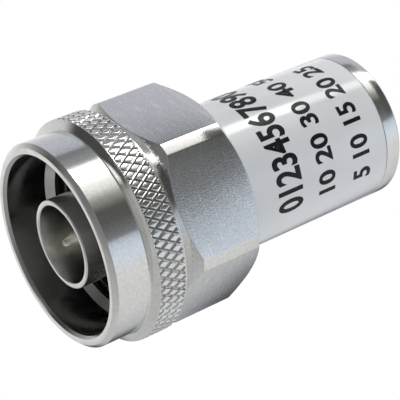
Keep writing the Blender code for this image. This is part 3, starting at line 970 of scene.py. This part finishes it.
class TERMINATION_OT_plug(bpy.types.Operator):
    """Build the plug body with its sleeve, the face gasket, the centre pin and its bead"""

    bl_idname = "termination.plug"
    bl_label = "Plug and Pin"

    def execute(self, context):
        settings = context.scene.termination_plug
        finish = context.scene.termination_finish
        color = tuple(finish.plating)
        sleeve = metal("sleeve_plating", color, 0.20, lines=0.5, mottle=0.4)
        silver = metal("pin_silver", tuple(finish.pin), 0.24, lines=0.4, mottle=0.4)
        rubber = plain_solid("gasket_rubber", tuple(finish.gasket), 0.62)
        white = plain_solid("bead_insulator", tuple(finish.insulator), 0.45)
        flange_front = GASKET_REAR - FIT_GAP
        middle = flange_front - 0.0014
        groove = 0.00045
        rear = flange_front - 0.0028
        seal_front = rear - 0.0007
        seal_rear = rear - 0.0017
        pocket_front = flange_front - 0.0008
        profile = [
            (SLEEVE_RADIUS, SLEEVE_FRONT),
            (SLEEVE_RADIUS, flange_front),
            (FLANGE_RADIUS, flange_front),
            (FLANGE_RADIUS, middle + groove),
            (SNAP_GROOVE_RADIUS, middle + groove),
            (SNAP_GROOVE_RADIUS, middle - groove),
            (FLANGE_RADIUS, middle - groove),
            (FLANGE_RADIUS, rear),
            (SPIGOT_RADIUS, rear),
            (SPIGOT_RADIUS, seal_front),
            (SEAL_FLOOR_RADIUS, seal_front),
            (SEAL_FLOOR_RADIUS, seal_rear),
            (SPIGOT_RADIUS, seal_rear),
            (SPIGOT_RADIUS, SPIGOT_REAR),
            (BEAD_POCKET_RADIUS, SPIGOT_REAR),
            (BEAD_POCKET_RADIUS, pocket_front),
            (SLEEVE_BORE_RADIUS, pocket_front),
            (SLEEVE_BORE_RADIUS, SLEEVE_FRONT),
        ]
        body = lathe(profile, settings.steps, soft=0.00008)
        finish_piece("plug_sleeve_body", body, "plug", (sleeve,), ("plug_body",))

        section = [
            (GASKET_RADIUS, GASKET_FRONT),
            (GASKET_RADIUS, GASKET_REAR),
            (SLEEVE_RADIUS + FIT_GAP, GASKET_REAR),
            (SLEEVE_RADIUS + FIT_GAP, GASKET_FRONT),
        ]
        gasket = lathe(section, settings.steps, soft=0.00018)
        finish_piece("gasket_ring", gasket, "plug", (rubber,), ("face_gasket",))

        for node, material, slot in (
            ("centre_pin", silver, "silver_pin"),
            ("support_bead", white, "insulator"),
        ):
            smooth_copy(node, material)
        return {"FINISHED"}


# Housing and its rear plug


class TERMINATION_OT_housing(bpy.types.Operator):
    """Build the housing tube with its tail ring, and the rear plug"""

    bl_idname = "termination.housing"
    bl_label = "Housing"

    def execute(self, context):
        settings = context.scene.termination_plug
        color = tuple(context.scene.termination_finish.plating)
        turned = metal(
            "housing_plating", color, 0.09, lines=1.0, mottle=0.8, line_scale=6000.0, arc_scale=120.0
        )
        seat = HOUSING_RADIUS - LABEL_SEAT_DEPTH
        seat_front = LABEL_FRONT + THIN_GAP
        seat_rear = LABEL_REAR - THIN_GAP
        edge = 0.0003
        profile = [
            (HOUSING_RADIUS, HOUSING_FRONT),
            (HOUSING_RADIUS, seat_front),
            (seat, seat_front),
            (seat, seat_rear),
            (HOUSING_RADIUS, seat_rear),
            (HOUSING_RADIUS, edge),
            (HOUSING_RADIUS - edge, 0.0),
            (HOUSING_BORE_RADIUS, 0.0),
            (HOUSING_BORE_RADIUS, HOUSING_FRONT),
        ]
        tube = lathe(profile, settings.steps, soft=0.00004)
        finish_piece("housing_tube", tube, "plug", (turned,), ("housing",))

        middle = (REAR_PLUG_REAR + REAR_PLUG_FRONT) / 2
        half = 0.0005
        edge = 0.0002
        disc = [
            (0.0, REAR_PLUG_FRONT),
            (SPIGOT_RADIUS - edge, REAR_PLUG_FRONT),
            (SPIGOT_RADIUS, REAR_PLUG_FRONT - edge),
            (SPIGOT_RADIUS, middle + half),
            (SEAL_FLOOR_RADIUS, middle + half),
            (SEAL_FLOOR_RADIUS, middle - half),
            (SPIGOT_RADIUS, middle - half),
            (SPIGOT_RADIUS, REAR_PLUG_REAR + edge),
            (SPIGOT_RADIUS - edge, REAR_PLUG_REAR),
            (0.0, REAR_PLUG_REAR),
        ]
        plug = lathe(disc, settings.steps, soft=0.00003, closed=False)
        finish_piece("tail_plug", plug, "plug", (turned,), ("rear_plug",))
        return {"FINISHED"}


# Label


def numeral_row(text, height, base, first, last):
    """One row of plain counting numbers, flat, with x as the angle round the label."""
    curve = bpy.data.curves.new("numerals", "FONT")
    curve.body = text
    curve.size = 1.0
    curve.offset = 0.028
    curve.resolution_u = 4
    item = bpy.data.objects.new("numerals", curve)
    bpy.context.scene.collection.objects.link(item)
    bpy.context.view_layer.update()
    mesh = bpy.data.meshes.new_from_object(item.evaluated_get(bpy.context.evaluated_depsgraph_get()))
    bpy.data.objects.remove(item)
    bpy.data.curves.remove(curve)
    bm = bmesh.new()
    bm.from_mesh(mesh)
    bpy.data.meshes.remove(mesh)
    low_x = min(v.co.x for v in bm.verts)
    high_x = max(v.co.x for v in bm.verts)
    low_y = min(v.co.y for v in bm.verts)
    high_y = max(v.co.y for v in bm.verts)
    span = math.radians(last - first)
    for vertex in bm.verts:
        share = (vertex.co.x - low_x) / (high_x - low_x)
        vertex.co.x = math.radians(first) + span * share
        vertex.co.y = base + height * (vertex.co.y - low_y) / (high_y - low_y)
        vertex.co.z = 0.0
    slices = 90
    for index in range(1, slices):
        bmesh.ops.bisect_plane(
            bm,
            geom=everything(bm),
            dist=0.0000001,
            plane_co=(math.radians(first) + span * index / slices, 0.0, 0.0),
            plane_no=(1.0, 0.0, 0.0),
        )
    return bm


class TERMINATION_OT_label(bpy.types.Operator):
    """Build the wrapped label film and its rows of plain counting numbers"""

    bl_idname = "termination.label"
    bl_label = "Label"

    def execute(self, context):
        settings = context.scene.termination_label
        film = plain_solid(
            "label_film",
            tuple(settings.film_color),
            0.105,
            spread=0.025,
            fine_scale=1500.0,
            patch_scale=350.0,
            dark_share=0.97,
            bump=0.000003,
        )
        coat = film.node_tree.nodes["Principled BSDF"].inputs
        coat["Coat Weight"].default_value = 0.7
        coat["Coat Roughness"].default_value = 0.06
        ink = plain_solid("label_ink", tuple(settings.ink_color), 0.30, spread=0.05)
        ink.node_tree.nodes["Principled BSDF"].inputs["Specular IOR Level"].default_value = 0.2
        section = [
            (LABEL_RADIUS, LABEL_FRONT),
            (LABEL_RADIUS, LABEL_REAR),
            (LABEL_RADIUS - LABEL_THICKNESS, LABEL_REAR),
            (LABEL_RADIUS - LABEL_THICKNESS, LABEL_FRONT),
        ]
        gap = settings.joint_gap / LABEL_RADIUS
        wrap = lathe(section, 180, soft=0.00003, sweep=math.tau - gap)
        ends = [e for e in wrap.edges if e.is_boundary]
        bmesh.ops.holes_fill(wrap, edges=ends, sides=0)
        joint = Matrix.Rotation(LABEL_JOINT + gap / 2, 3, "Z")
        bmesh.ops.rotate(wrap, verts=wrap.verts, cent=(0, 0, 0), matrix=joint)
        finish_piece("label_wrap", wrap, "plug", (film,), ("wrap_label",))

        rows = bmesh.new()
        for text, height, base, first, last in (
            ("0123456789012", 0.00285, 0.01155, -70, 81),
            ("10 20 30 40 50", 0.0019, 0.0079, -67, 66),
            ("5 10 15 20 25", 0.0020, 0.0038, -68, 46),
        ):
            add_to(rows, numeral_row(text, height, base, first, last))
        sunk = settings.ink_height / 2
        made = bmesh.ops.extrude_face_region(rows, geom=list(rows.faces))["geom"]
        for vertex in (g for g in made if isinstance(g, bmesh.types.BMVert)):
            vertex.co.z += settings.ink_height + sunk
        for vertex in rows.verts:
            reach = LABEL_RADIUS - sunk + vertex.co.z
            angle = vertex.co.x
            vertex.co = (reach * math.cos(angle), reach * math.sin(angle), vertex.co.y)
        finish_piece("label_numerals", rows, "plug", (ink,))
        return {"FINISHED"}


# Pieces inside


class TERMINATION_OT_inner(bpy.types.Operator):
    """Give the hidden pieces their finishes: snap ring, resistor, liner, contact and seals"""

    bl_idname = "termination.inner"
    bl_label = "Inner Pieces"

    def execute(self, context):
        bronze = metal("spring_bronze", (0.62, 0.42, 0.22), 0.30, lines=0.4)
        brass = metal("liner_brass", (0.72, 0.55, 0.26), 0.28, lines=1.0)
        tinned = metal("cap_tin", (0.62, 0.62, 0.61), 0.35, lines=0.2)
        rubber = plain_solid("seal_rubber", (0.02, 0.02, 0.02), 0.65)
        ceramic = plain_solid("rod_ceramic", (0.16, 0.14, 0.12), 0.5)
        for node, material, slot in (
            ("nut_snap_ring", bronze, "spring_bronze"),
            ("ground_contact", bronze, "spring_bronze"),
            ("taper_liner", brass, "liner_brass"),
            ("resistor_front_cap", tinned, "tinned_caps"),
            ("resistor_rear_cap", tinned, "tinned_caps"),
            ("resistor_rod", ceramic, "ceramic_rod"),
            ("housing_seal_ring", rubber, "seal_rubber"),
            ("plug_seal_ring", rubber, "seal_rubber"),
        ):
            smooth_copy(node, material)
        return {"FINISHED"}


# Stage

# Studio light by compass angle in degrees, from far below the horizon up to overhead
DEEP_LIGHT = (
    (-180, (0.10, 0.10, 0.11)),
    (-167, (0.35, 0.36, 0.38)),
    (-142, (0.65, 0.66, 0.67)),
    (-76, (0.84, 0.84, 0.83)),
    (-59, (0.80, 0.87, 0.97)),
    (-46, (0.70, 0.78, 0.88)),
    (-41, (0.58, 0.64, 0.72)),
    (-37, (0.22, 0.23, 0.24)),
    (-28, (0.11, 0.11, 0.11)),
    (12, (0.085, 0.085, 0.08)),
    (28, (0.16, 0.16, 0.16)),
    (36, (3.0, 3.0, 2.9)),
    (44, (3.0, 3.0, 2.9)),
    (49, (0.50, 0.50, 0.50)),
    (75, (0.60, 0.61, 0.63)),
    (106, (0.62, 0.63, 0.68)),
    (139, (0.95, 0.96, 0.98)),
    (165, (0.44, 0.44, 0.47)),
    (180, (0.10, 0.10, 0.11)),
)
LOW_LIGHT = (
    (-180, (0.10, 0.10, 0.11)),
    (-175, (0.14, 0.14, 0.15)),
    (-167, (0.30, 0.31, 0.33)),
    (-157, (0.54, 0.56, 0.58)),
    (-142, (0.65, 0.66, 0.67)),
    (-125, (0.76, 0.76, 0.76)),
    (-76, (0.84, 0.84, 0.83)),
    (-59, (0.80, 0.87, 0.97)),
    (-46, (0.70, 0.78, 0.88)),
    (-41, (0.58, 0.64, 0.72)),
    (-37, (0.22, 0.23, 0.24)),
    (-20, (0.12, 0.125, 0.12)),
    (-7, (0.11, 0.11, 0.10)),
    (6, (0.42, 0.42, 0.39)),
    (15, (1.00, 1.00, 0.96)),
    (28, (1.40, 1.40, 1.35)),
    (32, (6.0, 6.0, 5.8)),
    (44, (6.0, 6.0, 5.8)),
    (47, (1.00, 1.00, 0.98)),
    (52, (0.36, 0.37, 0.37)),
    (70, (0.22, 0.23, 0.24)),
    (75, (0.50, 0.52, 0.57)),
    (90, (0.60, 0.62, 0.69)),
    (106, (0.62, 0.63, 0.68)),
    (122, (0.76, 0.77, 0.80)),
    (139, (0.95, 0.96, 0.98)),
    (155, (0.80, 0.80, 0.82)),
    (165, (0.44, 0.44, 0.47)),
    (173, (0.12, 0.12, 0.13)),
    (180, (0.10, 0.10, 0.11)),
)
HIGH_LIGHT = (
    (-180, (0.60, 0.60, 0.61)),
    (-160, (0.60, 0.60, 0.61)),
    (-143, (0.62, 0.62, 0.61)),
    (-120, (0.68, 0.68, 0.67)),
    (-100, (0.66, 0.66, 0.65)),
    (-85, (0.50, 0.50, 0.49)),
    (-76, (0.32, 0.32, 0.32)),
    (-50, (0.36, 0.37, 0.38)),
    (-10, (0.30, 0.31, 0.31)),
    (30, (0.18, 0.18, 0.17)),
    (90, (0.16, 0.16, 0.15)),
    (103, (0.28, 0.28, 0.27)),
    (114, (0.48, 0.48, 0.47)),
    (124, (0.72, 0.72, 0.71)),
    (135, (0.82, 0.82, 0.81)),
    (150, (0.92, 0.92, 0.91)),
    (160, (0.84, 0.84, 0.83)),
    (168, (0.64, 0.64, 0.64)),
    (180, (0.60, 0.60, 0.61)),
)
TOP_LIGHT = (
    (-180, (0.60, 0.60, 0.61)),
    (-165, (0.58, 0.58, 0.58)),
    (-120, (0.55, 0.55, 0.55)),
    (-75, (0.42, 0.42, 0.42)),
    (-40, (0.26, 0.26, 0.26)),
    (5, (0.20, 0.20, 0.20)),
    (60, (0.20, 0.20, 0.20)),
    (80, (0.10, 0.10, 0.10)),
    (124, (0.07, 0.07, 0.07)),
    (150, (0.07, 0.07, 0.07)),
    (170, (0.20, 0.20, 0.20)),
    (180, (0.60, 0.60, 0.61)),
)

# Height of a direction where each light gives way to the next, and how softly
LIGHT_BANDS = (
    (LOW_LIGHT, -0.585, -0.56, "LINEAR"),
    (HIGH_LIGHT, -0.12, 0.16, "SMOOTHSTEP"),
    (TOP_LIGHT, 0.45, 0.60, "SMOOTHSTEP"),
)

# A lamp overhead and the ceiling round it
LAMP_WAY = (0.091, 0.429, 0.899)
LAMP_LIGHT = (1.5, 1.5, 1.42)
LAMP_EDGE = math.cos(math.radians(10))
LAMP_FULL = math.cos(math.radians(7))
ZENITH_LIGHT = (0.5, 0.5, 0.49)
ZENITH_EDGE = 0.955
ZENITH_FULL = 0.975

# Share of extra light that matt surfaces get
MATT_FILL = 0.22


def light_ramp(tree, turn, stops):
    """Light by compass angle, from (degrees, colour) pairs between -180 and 180."""
    node = add(tree, "ShaderNodeValToRGB", {"Fac": turn})
    marks = node.color_ramp.elements
    while len(marks) > 1:
        marks.remove(marks[-1])
    marks[0].position = 0.0
    marks[0].color = (*stops[0][1], 1.0)
    for degrees, color in stops[1:]:
        mark = marks.new((degrees + 180) / 360)
        mark.color = (*color, 1.0)
    return node.outputs[0]


def studio_world(strength):
    """Soft light that changes round the object, and plain white wherever the camera looks past it."""
    world = bpy.data.worlds.new("studio")
    world.use_nodes = True
    tree = world.node_tree
    tree.nodes.clear()
    place = add(tree, "ShaderNodeTexCoord").outputs["Generated"]
    x, y, z = add(tree, "ShaderNodeSeparateXYZ", {0: place}).outputs
    turn = share_between(tree, math_node(tree, "ARCTAN2", y, x), -math.pi, math.pi)
    color = light_ramp(tree, turn, DEEP_LIGHT)
    for stops, first, last, kind in LIGHT_BANDS:
        share = share_between(tree, z, first, last, kind)
        color = mix_color(tree, share, color, light_ramp(tree, turn, stops))
    facing = add(tree, "ShaderNodeVectorMath", {0: place, 1: LAMP_WAY}, operation="DOT_PRODUCT")
    for value, first, last, light in (
        (z, ZENITH_EDGE, ZENITH_FULL, ZENITH_LIGHT),
        (facing.outputs["Value"], LAMP_EDGE, LAMP_FULL, LAMP_LIGHT),
    ):
        color = mix_color(tree, share_between(tree, value, first, last), color, (*light, 1.0))
    path = add(tree, "ShaderNodeLightPath")
    seen = path.outputs["Is Camera Ray"]
    fill = math_node(tree, "MULTIPLY", path.outputs["Is Diffuse Ray"], MATT_FILL * strength)
    level = math_node(tree, "ADD", fill, strength)
    light = add(tree, "ShaderNodeBackground", {"Color": color, "Strength": level})
    plain = add(tree, "ShaderNodeBackground", {"Color": WHITE, "Strength": 1.0})
    choice = add(tree, "ShaderNodeMixShader", {0: seen, 1: light.outputs[0], 2: plain.outputs[0]})
    add(tree, "ShaderNodeOutputWorld", {"Surface": choice.outputs[0]})
    return world


def floor_material():
    """Plain white, lit or not."""
    material = bpy.data.materials.new("stage_floor")
    material.use_nodes = True
    tree = material.node_tree
    tree.nodes.clear()
    glow = add(tree, "ShaderNodeEmission", {"Color": WHITE, "Strength": 1.0})
    add(tree, "ShaderNodeOutputMaterial", {"Surface": glow.outputs[0]})
    return material


class TERMINATION_OT_stage(bpy.types.Operator):
    """Set the pale floor, the soft light and the camera"""

    bl_idname = "termination.stage"
    bl_label = "Stage"

    def execute(self, context):
        settings = context.scene.termination_stage
        scene = context.scene
        bm = bmesh.new()
        bmesh.ops.create_grid(bm, x_segments=1, y_segments=1, size=0.8)
        mesh = bpy.data.meshes.new("stage_floor")
        bm.to_mesh(mesh)
        bm.free()
        mesh.materials.append(floor_material())
        floor = bpy.data.objects.new("stage_floor", mesh)
        scene.collection.objects.link(floor)
        for part in ("visible_diffuse", "visible_glossy", "visible_transmission", "visible_shadow"):
            setattr(floor, part, False)

        scene.world = studio_world(settings.light_strength)
        scene.view_settings.view_transform = "Standard"
        scene.view_settings.look = "None"

        data = bpy.data.cameras.new("camera")
        data.sensor_fit = "HORIZONTAL"
        data.sensor_width = 36.0
        data.lens = settings.lens
        data.clip_start = 0.005
        data.clip_end = 5.0
        camera = bpy.data.objects.new("camera", data)
        scene.collection.objects.link(camera)
        camera.location = settings.camera_place
        camera.rotation_euler = Euler(settings.camera_turn, "XYZ")
        scene.camera = camera
        return {"FINISHED"}


# Panel and registration


class TERMINATION_PT_panel(bpy.types.Panel):
    """Lists the pieces and their settings"""

    bl_idname = "TERMINATION_PT_panel"
    bl_label = "Coaxial Termination"
    bl_space_type = "VIEW_3D"
    bl_region_type = "UI"
    bl_category = "Termination"

    def draw(self, context):
        layout = self.layout
        for name in GROUPS:
            settings = getattr(context.scene, name)
            box = layout.box()
            for key in settings.bl_rna.properties.keys():
                if key not in ("rna_type", "name"):
                    box.prop(settings, key)
        for operator in OPERATORS:
            layout.operator(operator.bl_idname)


GROUPS = {
    "termination_nut": NutSettings,
    "termination_plug": PlugSettings,
    "termination_label": LabelSettings,
    "termination_finish": FinishSettings,
    "termination_stage": StageSettings,
}
OPERATORS = (
    TERMINATION_OT_nut,
    TERMINATION_OT_plug,
    TERMINATION_OT_housing,
    TERMINATION_OT_label,
    TERMINATION_OT_inner,
    TERMINATION_OT_stage,
)


def register():
    for kind in (*GROUPS.values(), *OPERATORS, TERMINATION_PT_panel):
        bpy.utils.register_class(kind)
    for name, kind in GROUPS.items():
        setattr(bpy.types.Scene, name, bpy.props.PointerProperty(type=kind))


def unregister():
    for name in GROUPS:
        delattr(bpy.types.Scene, name)
    for kind in reversed((*GROUPS.values(), *OPERATORS, TERMINATION_PT_panel)):
        bpy.utils.unregister_class(kind)


def main():
    register()
    turned_grain_group()
    painted_glint_marks_group()
    satin_mottle_group()
    crowned_flat_group()
    groove_shade_group()
    bpy.ops.termination.nut()
    bpy.ops.termination.plug()
    bpy.ops.termination.housing()
    bpy.ops.termination.label()
    bpy.ops.termination.inner()
    bpy.ops.termination.stage()


if __name__ == "__main__":
    main()
